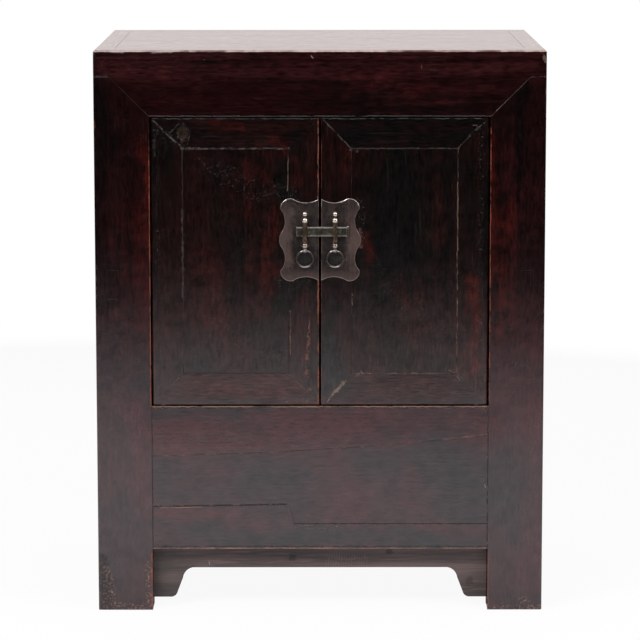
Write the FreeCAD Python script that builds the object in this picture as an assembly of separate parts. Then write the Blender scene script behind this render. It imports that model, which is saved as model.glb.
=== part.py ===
# Two-door cabinet with a closed well below the doors: mitred front frame, framed sides and back,
# doors hung on wooden pivots, iron face plates with turned posts, ring pulls and a sliding lock bar.
# Millimetres. +Z is up, the doors face -Y, and the origin is on the floor under the middle of the box.
import FreeCAD, Part
import math
import os
from FreeCAD import Vector

# Case
width = 660.0
depth = 490.0
height = 833.0
front_post_width = 81.0
rear_post_width = 60.0
post_depth = 48.0
shoulder_drop = 39.0
top_rail_height = 96.5
sill_top = 308.0
sill_bottom_left = 234.0
sill_bottom_right = 265.0
sill_sag = 6.0
well_bottom_left = 156.0
well_bottom_right = 131.0
well_step_start = -47.0
well_step_end = -38.0
well_rise = 3.5
well_board_thickness = 20.0
bottom_rail_bottom = 93.0
bottom_rail_depth = 30.0
edge_round = 4.0

# Apron
apron_setback = 22.0
apron_thickness = 18.0
apron_edge = 59.5
bracket_bottom = 14.5
bracket_toe = 27.0
bracket_reach = 36.0
bracket_lean = 8.0
bracket_shoulder = 15.0
bracket_side_low = 23.0
bracket_side_high = 44.0

# Sides, back and top
side_rail_width = 40.0
side_top_height = 73.0
side_bottom_height = 57.0
side_panel_setback = 6.0
side_panel_thickness = 10.0
back_panel_setback = 12.0
back_panel_thickness = 10.0
back_lap = 14.0
rear_mid_height = 58.0
panel_tongue = 7.0
top_panel_thickness = 14.0
top_panel_lap = 10.0
batten_place = 165.0
batten_width = 45.0
batten_thickness = 30.0
batten_tenon_width = 33.0
batten_tenon_thickness = 14.5

# Inside
shelf_rail_gap = 1.0
shelf_rail_thickness = 22.0
shelf_rail_top = 514.0
shelf_rail_height = 50.0
shelf_tenon_thickness = 17.0
shelf_tenon_margin = 4.0
board_thickness = 16.0
shelf_front_gap = 2.0
ledger_width = 53.0
ledger_height = 40.0
lid_width = 470.0
lid_ledge = 10.0
finger_hole_radius = 12.0
finger_hole_inset = 60.0
well_floor_lift = 15.0
well_floor_thickness = 14.0
well_floor_tongue = 8.0

# Joints of the case
tenon_thickness = 14.0
tenon_length = 36.0
side_tenon_length = 14.0
short_tongue = 8.0
tenon_margin = 12.0
head_tenon_width = 24.0
head_tenon_height = 20.0

# Doors
door_thickness = 22.0
door_setback = 1.0
door_side_gap = 1.6
door_top_gap = 2.2
door_bottom_gap = 2.7
meeting_gap = 3.0
hinge_stile_width = 46.0
meeting_stile_width = 44.0
door_top_width = 44.5
door_bottom_width = 46.5
door_panel_lip = 4.0
door_panel_thickness = 10.0
door_panel_tongue = 6.0
door_batten_height = 36.0
door_batten_tenon = 8.0
door_corner_radius = 5.0
key_length = 28.0
key_width = 14.0
key_thickness = 4.0
key_place = 18.0
pivot_inset = 16.0
pivot_place = 9.0
pivot_radius = 6.0
pivot_seat = 14.0
pivot_root = 34.0
top_socket_spare = 8.0
stop_width = 360.0
stop_depth = 10.5
stop_height = 10.0

# Door furniture, with places measured from the top of the door opening and from the seam between the doors
furniture_drop = 181.0
plate_thickness = 1.6
plate_reach = 60.0
plate_corner_height = 61.0
plate_seam_height = 60.5
plate_dip = 6.0
plate_waist = 8.5
plate_mid_lobe = 12.0
plate_mid_ease = 4.0
plate_corner_width = 20.0
plate_corner_depth = 15.0
plate_corner_pull = 1.5
plate_corner_ease = 4.0
plate_corner_cut = 6.5
tack_place = 37.0
tack_drop = 9.0
tack_head_radius = 1.8
tack_head_height = 0.9
tack_shank_radius = 0.7
tack_shank_length = 9.0
post_place = 22.0
post_shaft_radius = 3.8
bead_radius = 4.5
finial_radius = 3.8
neck_radius = 2.4
finial_rise = 39.0
upper_bead_rise = 29.5
lower_bead_drop = 7.3
shank_radius = 2.0
clench_length = 22.0
clench_thickness = 1.6
bar_left = -35.0
bar_right = 42.0
bar_rise = 12.5
bar_height = 14.2
bar_thickness = 4.0
bar_recess = 1.2
bar_rim = 1.7
bar_pull_width = 3.0
bar_pull_flare = 0.9
ring_radius = 11.9
ring_wire_radius = 1.4
eye_drop = 15.6
eye_offset = 6.0
eye_wall = 2.0
eye_width = 4.5
eye_round = 1.2
eye_shank_radius = 1.9

# Clearances
joint_gap = 0.15
board_gap = 0.3
shelf_gap = 0.5
lid_gap = 0.5
running_gap = 0.08
pivot_end_gap = 0.2
panel_gap = 0.3
stop_gap = 0.5
bar_gap = 0.4
plate_seam_gap = 0.4
eye_gap = 0.35

# Places worked out from the sizes
opening_top = height - top_rail_height
furniture_height = opening_top - furniture_drop
post_offset = plate_thickness + bar_gap + bar_thickness + bar_gap + post_shaft_radius
furniture_proud = post_offset + bead_radius - door_setback
front_y = (furniture_proud - depth) / 2
back_y = front_y + depth
case_middle = (front_y + back_y) / 2
front_back = front_y + post_depth
rear_face = back_y - post_depth
half_width = width / 2
front_inner = half_width - front_post_width
rear_inner = half_width - rear_post_width
shoulder_z = height - shoulder_drop
shoulder_x = front_inner + shoulder_z - opening_top
side_inner = half_width - side_rail_width
side_top_bottom = height - side_top_height
side_bottom_top = bottom_rail_bottom + side_bottom_height
panel_inner = half_width - side_panel_setback - side_panel_thickness
back_panel_front = back_y - back_panel_setback - back_panel_thickness
rear_mid_bottom = sill_top - rear_mid_height
top_panel_bottom = height - top_panel_thickness
rail_outer = panel_inner - shelf_rail_gap
ledger_top = sill_top - board_thickness
door_y = front_y + door_setback
door_back = door_y + door_thickness
door_outer = front_inner - door_side_gap
door_inner = meeting_gap / 2
door_z0 = sill_top + door_bottom_gap
door_z1 = opening_top - door_top_gap
panel_x0 = door_inner + meeting_stile_width
panel_x1 = door_outer - hinge_stile_width
panel_z0 = door_z0 + door_bottom_width
panel_z1 = door_z1 - door_top_width
pivot_x = door_outer - pivot_inset
pivot_y = door_y + pivot_place
eye_z = furniture_height - eye_drop
eye_y = door_y - eye_offset
bar_z0 = furniture_height + bar_rise - bar_height / 2
bar_z1 = bar_z0 + bar_height

pieces = {}


def block(x0, x1, y0, y1, z0, z1):
    return Part.makeBox(x1 - x0, y1 - y0, z1 - z0, Vector(x0, y0, z0))


def room(limits, gap=joint_gap):
    x0, x1, y0, y1, z0, z1 = limits
    return block(x0 - gap, x1 + gap, y0 - gap, y1 + gap, z0 - gap, z1 + gap)


def upright(outline, y0, y1):
    corners = [Vector(x, y0, z) for x, z in outline]
    wire = Part.makePolygon(corners + corners[:1])
    return Part.Face(wire).extrude(Vector(0, y1 - y0, 0))


def bowed_upright(bow, outline, y0, y1):
    start, middle, end = [Vector(x, y0, z) for x, z in bow]
    corners = [end] + [Vector(x, y0, z) for x, z in outline] + [start]
    edges = [Part.Arc(start, middle, end).toShape()] + Part.makePolygon(corners).Edges
    return Part.Face(Part.Wire(edges)).extrude(Vector(0, y1 - y0, 0))


def rod_y(radius, x, y0, y1, z):
    return Part.makeCylinder(radius, y1 - y0, Vector(x, y0, z), Vector(0, 1, 0))


def mirrored(shape):
    return shape.mirror(Vector(0, 0, 0), Vector(1, 0, 0))


def both(shape):
    return [shape, mirrored(shape)]


def add_pair(name, shape):
    pieces[name + "_right"] = shape
    pieces[name + "_left"] = mirrored(shape)


# Tenons and tongues, each as the limits of one bar that runs on into the posts at both ends
def across(inner, reach, y_middle, z0, z1):
    half = tenon_thickness / 2
    return (-inner - reach, inner + reach, y_middle - half, y_middle + half, z0, z1)


def along(x_middle, z0, z1):
    half = tenon_thickness / 2
    y0 = front_back - side_tenon_length
    y1 = rear_face + side_tenon_length
    return (x_middle - half, x_middle + half, y0, y1, z0, z1)


front_middle = front_y + post_depth / 2
rear_middle = back_y - post_depth / 2
sill_tenon = across(front_inner, tenon_length, front_middle,
                    sill_bottom_right + tenon_margin, sill_top - tenon_margin)
well_tenon = across(front_inner, short_tongue, front_y + well_board_thickness / 2,
                    well_bottom_left + tenon_margin, sill_bottom_left - tenon_margin)
bottom_tenon = across(front_inner, tenon_length, front_y + bottom_rail_depth / 2,
                      bottom_rail_bottom + tenon_margin, well_bottom_right - tenon_margin / 2)
apron_tenon = across(front_inner, short_tongue, front_y + apron_setback + apron_thickness / 2,
                     bracket_bottom + tenon_margin, bottom_rail_bottom - tenon_margin)
rear_mid_tenon = across(rear_inner, tenon_length, rear_middle,
                        rear_mid_bottom + tenon_margin, sill_top - tenon_margin)
rear_bottom_tenon = across(rear_inner, tenon_length, back_y - bottom_rail_depth / 2,
                           bottom_rail_bottom + tenon_margin, side_bottom_top - tenon_margin)
side_top_tenon = along(half_width - side_rail_width / 2, side_top_bottom + tenon_margin,
                       shoulder_z - tenon_margin / 2)
side_bottom_tenon = along(half_width - side_rail_width / 2, bottom_rail_bottom + tenon_margin,
                          side_bottom_top - tenon_margin)
ledger_tenon = along(rail_outer - tenon_thickness, ledger_top - ledger_height + tenon_margin / 2,
                     ledger_top - tenon_margin / 2)
shelf_tenon = (rail_outer - shelf_tenon_thickness, rail_outer, front_y, back_y,
               shelf_rail_top - shelf_rail_height + shelf_tenon_margin, shelf_rail_top - shelf_tenon_margin)
batten_tenon = (batten_place - batten_tenon_width / 2, batten_place + batten_tenon_width / 2,
                front_y, back_y, top_panel_bottom - batten_tenon_thickness, top_panel_bottom)


def head_tenon(post_width, y_middle):
    middle = half_width - post_width / 2
    half = head_tenon_width / 2
    return (middle - half, middle + half, y_middle - tenon_thickness / 2, y_middle + tenon_thickness / 2,
            opening_top, shoulder_z + head_tenon_height)


front_head = head_tenon(front_post_width, front_middle)
rear_head = head_tenon(rear_post_width, rear_middle)

# Panels and boards that run into grooves
side_panel = (panel_inner, panel_inner + side_panel_thickness,
              front_back - panel_tongue, rear_face + panel_tongue,
              side_bottom_top - panel_tongue, side_top_bottom + panel_tongue)
top_panel = (-side_inner - top_panel_lap, side_inner + top_panel_lap, front_back - top_panel_lap,
             rear_face + top_panel_lap, top_panel_bottom, height)
back_upper = (board_gap / 2, rear_inner + panel_tongue,
              back_panel_front, back_panel_front + back_panel_thickness,
              sill_top - panel_tongue, opening_top + panel_tongue)
back_lower = (-rear_inner - panel_tongue, rear_inner + panel_tongue,
              back_panel_front, back_panel_front + back_panel_thickness,
              side_bottom_top - panel_tongue, rear_mid_bottom + panel_tongue)
well_floor_z = bottom_rail_bottom + well_floor_lift
well_floor = (-side_inner - well_floor_tongue, side_inner + well_floor_tongue,
              front_y + bottom_rail_depth - well_floor_tongue,
              back_y - bottom_rail_depth + well_floor_tongue,
              well_floor_z, well_floor_z + well_floor_thickness)
lid = (-lid_width / 2, lid_width / 2, front_back - lid_ledge + lid_gap, rear_face + lid_ledge - lid_gap,
       ledger_top, sill_top)


# Sockets of the door pivots, in the top rail and in the sill
def pivot_socket(z0, z1):
    return Part.makeCylinder(pivot_radius + running_gap, z1 - z0, Vector(pivot_x, pivot_y, z0))


top_socket = pivot_socket(opening_top, opening_top + pivot_seat + top_socket_spare)
bottom_socket = pivot_socket(sill_top - pivot_seat - pivot_end_gap, sill_top)


# Tools that ease the outer edges of the case: upright corners, and the front, back and side edges of the top
def ease_upright(x, y):
    axis_x = x - math.copysign(edge_round, x)
    axis_y = y - math.copysign(edge_round, y - case_middle)
    corner = block(min(x, axis_x), max(x, axis_x), min(y, axis_y), max(y, axis_y), 0, height)
    return corner.cut(Part.makeCylinder(edge_round, height, Vector(axis_x, axis_y, 0)))


def ease_top_along_x(y):
    axis_y = y - math.copysign(edge_round, y - case_middle)
    axis_z = height - edge_round
    corner = block(-half_width, half_width, min(y, axis_y), max(y, axis_y), axis_z, height)
    start = Vector(-half_width, axis_y, axis_z)
    return corner.cut(Part.makeCylinder(edge_round, width, start, Vector(1, 0, 0)))


def ease_top_along_y(x):
    axis_x = x - math.copysign(edge_round, x)
    axis_z = height - edge_round
    corner = block(min(x, axis_x), max(x, axis_x), front_y, back_y, axis_z, height)
    start = Vector(axis_x, front_y, axis_z)
    return corner.cut(Part.makeCylinder(edge_round, depth, start, Vector(0, 1, 0)))


eased_uprights = [ease_upright(x, y) for x in (half_width, -half_width) for y in (front_y, back_y)]
eased_top = [ease_top_along_x(front_y), ease_top_along_x(back_y),
             ease_top_along_y(half_width), ease_top_along_y(-half_width)]


def make_posts():
    outline = [(front_inner, 0), (half_width, 0), (half_width, shoulder_z), (shoulder_x, shoulder_z),
               (front_inner, opening_top)]
    shared = [room(t) for t in (side_top_tenon, side_bottom_tenon, ledger_tenon, shelf_tenon, side_panel)]
    front_cuts = [room(t) for t in (sill_tenon, well_tenon, bottom_tenon, apron_tenon)]
    front = upright(outline, front_y, front_back).fuse(block(*front_head))
    add_pair("front_post", front.cut(shared + front_cuts + eased_uprights))
    rear_cuts = [room(t) for t in (rear_mid_tenon, rear_bottom_tenon, back_upper, back_lower)]
    rear = block(rear_inner, half_width, rear_face, back_y, 0, shoulder_z).fuse(block(*rear_head))
    add_pair("rear_post", rear.cut(shared + rear_cuts + eased_uprights))


def make_top():
    outline = [(half_width, height), (half_width, shoulder_z), (shoulder_x, shoulder_z),
               (front_inner, opening_top), (-front_inner, opening_top), (-shoulder_x, shoulder_z),
               (-half_width, shoulder_z), (-half_width, height)]
    batten_cuts = both(room(batten_tenon))
    panel_cut = room(top_panel)
    front = upright(outline, front_y, front_back)
    front_cuts = batten_cuts + [panel_cut] + both(room(front_head)) + both(top_socket)
    pieces["front_top_rail"] = front.cut(front_cuts + eased_uprights + eased_top)
    rear = block(-half_width, half_width, rear_face, back_y, shoulder_z, height)
    lower = block(-rear_inner, rear_inner, rear_face, back_y, opening_top, shoulder_z)
    rear = rear.fuse(lower).removeSplitter()
    rear_cuts = batten_cuts + [panel_cut] + both(room(rear_head)) + both(room(back_upper))
    pieces["rear_top_rail"] = rear.cut(rear_cuts + eased_uprights + eased_top)
    side = block(side_inner, half_width, front_back, rear_face, side_top_bottom, height)
    side = side.fuse(block(*side_top_tenon))
    add_pair("side_top_rail", side.cut([panel_cut, room(side_panel)] + eased_top))
    pieces["top_panel"] = block(*top_panel)
    half = batten_width / 2
    batten = block(batten_place - half, batten_place + half, front_back, rear_face,
                   top_panel_bottom - batten_thickness, top_panel_bottom)
    add_pair("top_batten", batten.fuse(block(*batten_tenon)).removeSplitter())


def make_front():
    ledge = block(lid[0] - lid_gap, lid[1] + lid_gap, front_back - lid_ledge, front_back,
                  ledger_top, sill_top)
    sill_middle = (sill_bottom_left + sill_bottom_right) / 2 - sill_sag
    sill_bow = [(-front_inner, sill_bottom_left), (0.0, sill_middle), (front_inner, sill_bottom_right)]
    sill = bowed_upright(sill_bow, [(front_inner, sill_top), (-front_inner, sill_top)], front_y, front_back)
    pieces["sill_rail"] = sill.fuse(block(*sill_tenon)).cut([ledge] + both(bottom_socket))
    lower_edge = [(-front_inner, well_bottom_left), (well_step_start, well_bottom_left + well_rise),
                  (well_step_end, well_bottom_right), (front_inner, well_bottom_right)]
    board_edge = [(x, z + board_gap) for x, z in reversed(lower_edge)]
    board_bow = [(x, z - board_gap) for x, z in sill_bow]
    well = bowed_upright(board_bow, board_edge, front_y, front_y + well_board_thickness)
    pieces["well_board"] = well.fuse(block(*well_tenon))
    rail = upright(lower_edge + [(front_inner, bottom_rail_bottom), (-front_inner, bottom_rail_bottom)],
                   front_y, front_y + bottom_rail_depth)
    pieces["front_bottom_rail"] = rail.fuse(block(*bottom_tenon)).cut(room(well_floor))


def make_apron():
    y0 = front_y + apron_setback
    toe = front_inner - bracket_toe
    foot = front_inner - bracket_reach
    knee = foot - bracket_lean
    shoulder = knee - bracket_shoulder

    def at(x, z):
        return Vector(x, y0, z)

    edges = [Part.LineSegment(at(0, bottom_rail_bottom), at(front_inner, bottom_rail_bottom)),
             Part.LineSegment(at(front_inner, bottom_rail_bottom), at(front_inner, bracket_bottom)),
             Part.LineSegment(at(front_inner, bracket_bottom), at(toe, bracket_bottom)),
             Part.Arc(at(toe, bracket_bottom),
                      at((toe + 2 * foot) / 3, (2 * bracket_bottom + bracket_side_low) / 3),
                      at(foot, bracket_side_low)),
             Part.LineSegment(at(foot, bracket_side_low), at(knee, bracket_side_high)),
             Part.Arc(at(knee, bracket_side_high),
                      at((2 * knee + shoulder) / 3, (bracket_side_high + 2 * apron_edge) / 3),
                      at(shoulder, apron_edge)),
             Part.LineSegment(at(shoulder, apron_edge), at(0, apron_edge)),
             Part.LineSegment(at(0, apron_edge), at(0, bottom_rail_bottom))]
    wire = Part.Wire([edge.toShape() for edge in edges])
    half = Part.Face(wire).extrude(Vector(0, apron_thickness, 0))
    ends = both(block(front_inner - short_tongue, *apron_tenon[1:]))
    pieces["apron"] = half.fuse([mirrored(half)] + ends).removeSplitter()


def make_sides_and_back():
    bottom = block(side_inner, half_width, front_back, rear_face, bottom_rail_bottom, side_bottom_top)
    bottom = bottom.fuse(block(*side_bottom_tenon)).cut([room(side_panel), room(well_floor)])
    add_pair("side_bottom_rail", bottom)
    add_pair("side_panel", block(*side_panel))
    ledge = block(lid[0] - lid_gap, lid[1] + lid_gap, rear_face, rear_face + lid_ledge, ledger_top, sill_top)
    middle = block(-rear_inner, rear_inner, rear_face, back_y, rear_mid_bottom, sill_top)
    middle = middle.fuse(block(*rear_mid_tenon))
    pieces["rear_mid_rail"] = middle.cut([ledge, room(back_lower)] + both(room(back_upper)))
    low = block(-rear_inner, rear_inner, back_y - bottom_rail_depth, back_y,
                bottom_rail_bottom, side_bottom_top)
    low = low.fuse(block(*rear_bottom_tenon))
    pieces["rear_bottom_rail"] = low.cut([room(back_lower), room(well_floor)])
    board_end, board_front, board_back, board_bottom, board_top = back_upper[1:]
    rebate = (board_front + board_back) / 2
    lap = back_lap / 2
    right = block(lap, board_end, board_front, board_back, board_bottom, board_top)
    lip = block(-lap, lap, board_front, rebate - board_gap / 2, board_bottom, board_top)
    pieces["back_board_right"] = right.fuse(lip).removeSplitter()
    left = block(-board_end, -lap - board_gap, board_front, board_back, board_bottom, board_top)
    lip = block(-lap - board_gap, lap - board_gap, rebate + board_gap / 2, board_back,
                board_bottom, board_top)
    pieces["back_board_left"] = left.fuse(lip).removeSplitter()
    pieces["back_panel_lower"] = block(*back_lower)


def make_inside():
    rail = block(rail_outer - shelf_rail_thickness, rail_outer, front_back, rear_face,
                 shelf_rail_top - shelf_rail_height, shelf_rail_top)
    add_pair("shelf_rail", rail.fuse(block(*shelf_tenon)))
    ledger = block(rail_outer - ledger_width, rail_outer, front_back, rear_face,
                   ledger_top - ledger_height, ledger_top)
    add_pair("floor_ledger", ledger.fuse(block(*ledger_tenon)))
    shelf_top = shelf_rail_top + board_thickness
    shelf = block(-rail_outer, rail_outer, front_back + shelf_front_gap, rear_face - shelf_gap,
                  shelf_rail_top, shelf_top)
    between = block(shelf_gap - rear_inner, rear_inner - shelf_gap, rear_face - shelf_gap,
                    back_panel_front - shelf_gap, shelf_rail_top, shelf_top)
    pieces["shelf_board"] = shelf.fuse(between).removeSplitter()
    floor_board = block(lid[1] + lid_gap, rail_outer, front_back + shelf_gap, rear_face - shelf_gap,
                        ledger_top, sill_top)
    add_pair("floor_board", floor_board)
    hole_y = lid[2] + finger_hole_inset
    hole = Part.makeCylinder(finger_hole_radius, board_thickness, Vector(0, hole_y, ledger_top))
    pieces["floor_lid"] = block(*lid).cut(hole)
    posts = (both(room((front_inner, half_width, front_y, front_back, 0, shoulder_z), shelf_gap))
             + both(room((rear_inner, half_width, rear_face, back_y, 0, shoulder_z), shelf_gap)))
    pieces["well_floor"] = block(*well_floor).cut(posts)
    stop_y = door_back + stop_gap
    half = stop_width / 2
    upper = block(-half, half, stop_y, stop_y + stop_depth, opening_top - stop_height, opening_top)
    lower = block(-half, half, stop_y, stop_y + stop_depth, sill_top, sill_top + stop_height)
    pieces["door_stops"] = Part.makeCompound([upper, lower])


# A key set square across the mitre between an outer and an inner corner of the door frame
def mitre_key(outer, inner, gap):
    middle = Vector((outer[0] + inner[0]) / 2, door_y + key_place, (outer[1] + inner[1]) / 2)
    turn = math.degrees(math.atan2(inner[1] - outer[1], inner[0] - outer[0]))
    long_half = key_length / 2 + gap
    wide_half = key_width / 2 + gap
    thick_half = key_thickness / 2 + gap
    key = block(-wide_half, wide_half, -thick_half, thick_half, -long_half, long_half)
    key.rotate(Vector(0, 0, 0), Vector(0, 1, 0), -turn)
    key.translate(middle)
    return key


def furniture_shanks(gap):
    back = door_back + clench_thickness
    rods = [rod_y(shank_radius + gap, post_place, door_y - post_offset, back, z) for z in shank_heights]
    rods.append(rod_y(eye_shank_radius + gap, post_place, eye_y + eye_hole + eye_wall / 2, back, eye_z))
    return rods


shank_heights = (bar_z1 + bar_gap + shank_radius, bar_z0 - bar_gap - shank_radius)
eye_hole = ring_wire_radius + eye_gap


def make_doors():
    outer = [(door_outer, door_z1), (door_inner, door_z1), (door_inner, door_z0), (door_outer, door_z0)]
    inner = [(panel_x1, panel_z1), (panel_x0, panel_z1), (panel_x0, panel_z0), (panel_x1, panel_z0)]
    tongue = (panel_x0 - door_panel_tongue, panel_x1 + door_panel_tongue, door_y + door_panel_lip,
              door_y + door_panel_thickness, panel_z0 - door_panel_tongue, panel_z1 + door_panel_tongue)
    batten_z = (panel_z0 + panel_z1 - door_batten_height) / 2
    batten_y = door_y + door_panel_thickness
    batten = (panel_x0, panel_x1, batten_y, door_back, batten_z, batten_z + door_batten_height)
    cheek = (door_back - batten_y) / 4
    batten_tongue = (panel_x0 - door_batten_tenon, panel_x1 + door_batten_tenon, batten_y + cheek,
                     door_back - cheek, batten_z, batten_z + door_batten_height)
    round_x = door_outer - door_corner_radius
    round_y = door_y + door_corner_radius
    corner = block(round_x, door_outer, door_y, round_y, door_z0, door_z1)
    rounding = Part.makeCylinder(door_corner_radius, door_z1 - door_z0, Vector(round_x, round_y, door_z0))
    corner = corner.cut(rounding)
    cuts = [room(tongue), room(batten_tongue), corner]
    cuts += [mitre_key(o, i, joint_gap) for o, i in zip(outer, inner)]

    def pivot(gap):
        low = door_z0 - door_bottom_gap - pivot_seat
        high = door_z1 + door_top_gap + pivot_seat
        reach = pivot_root + pivot_seat
        start = high - reach - door_top_gap
        radius = pivot_radius + gap
        return [Part.makeCylinder(radius, reach + door_bottom_gap, Vector(pivot_x, pivot_y, low)),
                Part.makeCylinder(radius, reach + door_top_gap, Vector(pivot_x, pivot_y, start))]

    def member(first, second):
        outline = [outer[first], outer[second], inner[second], inner[first]]
        return upright(outline, door_y, door_back).cut(cuts)

    add_pair("door_top_rail", member(0, 1).cut(pivot(joint_gap)))
    add_pair("door_meeting_stile", member(1, 2).cut(furniture_shanks(joint_gap) + tack_shanks(joint_gap)))
    add_pair("door_bottom_rail", member(2, 3).cut(pivot(joint_gap)))
    add_pair("door_hinge_stile", member(3, 0).fuse(pivot(0)))
    face = block(panel_x0 + panel_gap, panel_x1 - panel_gap, door_y, door_y + door_panel_thickness,
                 panel_z0 + panel_gap, panel_z1 - panel_gap)
    add_pair("door_panel", face.fuse(block(*tongue)).removeSplitter())
    add_pair("door_batten", block(*batten).fuse(block(*batten_tongue)).removeSplitter())
    add_pair("mitre_keys", Part.makeCompound([mitre_key(o, i, 0) for o, i in zip(outer, inner)]))


def tack_shanks(gap):
    heights = (plate_corner_height - tack_drop, tack_drop - plate_corner_height)
    front = door_y - plate_thickness
    end = front + tack_shank_length
    radius = tack_shank_radius + gap
    return [rod_y(radius, tack_place, front, end, furniture_height + z) for z in heights]


# Half of the scalloped plate: a dip along the top and bottom, round corners,
# and a waist each side of the lobe in the middle
def make_plates():
    seam = door_inner + plate_seam_gap
    corner_x = plate_reach - plate_corner_width
    corner_z = plate_corner_height - plate_corner_depth
    quarter = [(seam, plate_seam_height), ((seam + corner_x) / 2, plate_corner_height - plate_dip),
               (corner_x, plate_corner_height),
               (plate_reach - plate_corner_cut, plate_corner_height - plate_corner_ease),
               (plate_reach - plate_corner_pull, corner_z),
               (plate_reach - plate_waist, (corner_z + plate_mid_lobe) / 2),
               (plate_reach - plate_mid_ease, plate_mid_lobe), (plate_reach, 0)]
    ring = quarter + [(x, -z) for x, z in reversed(quarter[:-1])]
    y = door_y - plate_thickness
    points = [Vector(x, y, furniture_height + z) for x, z in ring]
    edges = [Part.Arc(*points[i:i + 3]).toShape() for i in range(0, len(points) - 2, 2)]
    edges.append(Part.LineSegment(points[-1], points[0]).toShape())
    plate = Part.Face(Part.Wire(edges)).extrude(Vector(0, plate_thickness, 0))
    add_pair("face_plate", plate.cut(furniture_shanks(joint_gap) + tack_shanks(joint_gap)))
    front = door_y - plate_thickness
    dome = (tack_head_radius ** 2 + tack_head_height ** 2) / (2 * tack_head_height)
    tacks = []
    for shank in tack_shanks(0):
        z = shank.BoundBox.Center.z
        head = Part.makeSphere(dome, Vector(tack_place, front - tack_head_height + dome, z))
        head = head.common(rod_y(tack_head_radius, tack_place, front - tack_head_height, front, z))
        tacks.append(head.fuse(shank))
    add_pair("plate_tacks", Part.makeCompound(tacks))


def clench(z):
    half = clench_length / 2
    return block(post_place - half, post_place + half, door_back, door_back + clench_thickness,
                 z - shank_radius, z + shank_radius)


def make_posts_and_rings():
    y = door_y - post_offset
    finial_z = furniture_height + finial_rise
    upper_z = furniture_height + upper_bead_rise
    lower_z = furniture_height - lower_bead_drop
    shank_upper, shank_lower, eye_shank = furniture_shanks(0)
    post = Part.makeCylinder(post_shaft_radius, upper_z - lower_z, Vector(post_place, y, lower_z))
    post = post.fuse([Part.makeSphere(bead_radius, Vector(post_place, y, upper_z)),
                      Part.makeSphere(bead_radius, Vector(post_place, y, lower_z)),
                      Part.makeCylinder(neck_radius, finial_z - upper_z, Vector(post_place, y, upper_z)),
                      Part.makeSphere(finial_radius, Vector(post_place, y, finial_z)),
                      shank_upper, shank_lower, clench(shank_heights[0]), clench(shank_heights[1])])
    add_pair("turned_post", post)
    eye_end = Vector(post_place - eye_width / 2, eye_y, eye_z)
    eye = Part.makeCylinder(eye_hole + eye_wall, eye_width, eye_end, Vector(1, 0, 0))
    rims = [edge for edge in eye.Edges if edge.Closed and len(edge.Vertexes) == 1]
    eye = eye.makeFillet(eye_round, rims)
    hole = Part.makeCylinder(eye_hole, eye_width, eye_end, Vector(1, 0, 0))
    add_pair("ring_eye", eye.cut(hole).fuse([eye_shank, clench(eye_z)]))
    ring = Part.makeTorus(ring_radius, ring_wire_radius, Vector(post_place, eye_y, eye_z - ring_radius),
                          Vector(0, 1, 0))
    add_pair("ring", ring)


def make_lock_bar():
    back = door_y - plate_thickness - bar_gap
    front = back - bar_thickness
    bar = block(bar_left, bar_right, front, back, bar_z0, bar_z1)
    pull = block(bar_right - bar_pull_width, bar_right, front, back,
                 bar_z0 - bar_pull_flare, bar_z1 + bar_pull_flare)
    recess = block(bar_left + bar_rim, bar_right - bar_pull_width, front, front + bar_recess,
                   bar_z0 + bar_rim, bar_z1 - bar_rim)
    pieces["lock_bar"] = bar.fuse(pull).cut(recess).removeSplitter()


make_posts()
make_top()
make_front()
make_apron()
make_sides_and_back()
make_inside()
make_doors()
make_plates()
make_posts_and_rings()
make_lock_bar()

os.makedirs("parts", exist_ok=True)
for name, shape in pieces.items():
    if not shape.isValid():
        print("not valid:", name)
    shape.exportStep("parts/" + name + ".step")
print(len(pieces), "pieces; door pivots at", round(pivot_x, 3), round(pivot_y, 3),
      "; ring eyes at", post_place, round(eye_y, 3), round(eye_z, 3), "; front face at", round(front_y, 3))
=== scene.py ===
import math
from functools import reduce
from operator import add

import bpy
from mathutils import Euler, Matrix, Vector


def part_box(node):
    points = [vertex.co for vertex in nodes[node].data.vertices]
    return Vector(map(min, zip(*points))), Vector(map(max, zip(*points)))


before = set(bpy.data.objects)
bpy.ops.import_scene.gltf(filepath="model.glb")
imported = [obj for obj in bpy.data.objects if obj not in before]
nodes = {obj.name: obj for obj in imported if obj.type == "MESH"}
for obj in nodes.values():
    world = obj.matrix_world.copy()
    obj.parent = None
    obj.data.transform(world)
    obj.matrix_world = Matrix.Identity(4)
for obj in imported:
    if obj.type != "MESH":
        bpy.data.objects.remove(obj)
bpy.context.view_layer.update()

print("frame loaded:", len(nodes), "CAD nodes")


class Wire:  # one socket of a node tree; arithmetic on it adds Math nodes
    def __init__(self, tree, socket):
        self.tree = tree
        self.socket = socket

    def node(self, kind, settings=None, inputs=None, output=0):
        made = self.tree.nodes.new(kind)
        for name, value in (settings or {}).items():
            setattr(made, name, value)
        shown = [socket for socket in made.inputs if socket.enabled]
        for name, value in (inputs or {}).items():
            socket = shown[name] if isinstance(name, int) else next(s for s in shown if s.name == name)
            if isinstance(value, Wire):
                self.tree.links.new(value.socket, socket)
            else:
                socket.default_value = value
        outs = [socket for socket in made.outputs if socket.enabled]
        if not outs:
            return None
        return Wire(self.tree, outs[output] if isinstance(output, int) else made.outputs[output])

    def math(self, operation, first, second=0.0):
        return self.node("ShaderNodeMath", {"operation": operation}, {0: first, 1: second})

    def __add__(self, other):
        return self.math("ADD", self, other)

    __radd__ = __add__

    def __sub__(self, other):
        return self.math("SUBTRACT", self, other)

    def __rsub__(self, other):
        return self.math("SUBTRACT", other, self)

    def __mul__(self, other):
        return self.math("MULTIPLY", self, other)

    __rmul__ = __mul__


# short words for the nodes that come up most
def smaller(first, second):
    return first.math("MINIMUM", first, second)


def larger(first, second):
    return first.math("MAXIMUM", first, second)


def size(value):
    return value.node("ShaderNodeMath", {"operation": "ABSOLUTE"}, {0: value})


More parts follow.
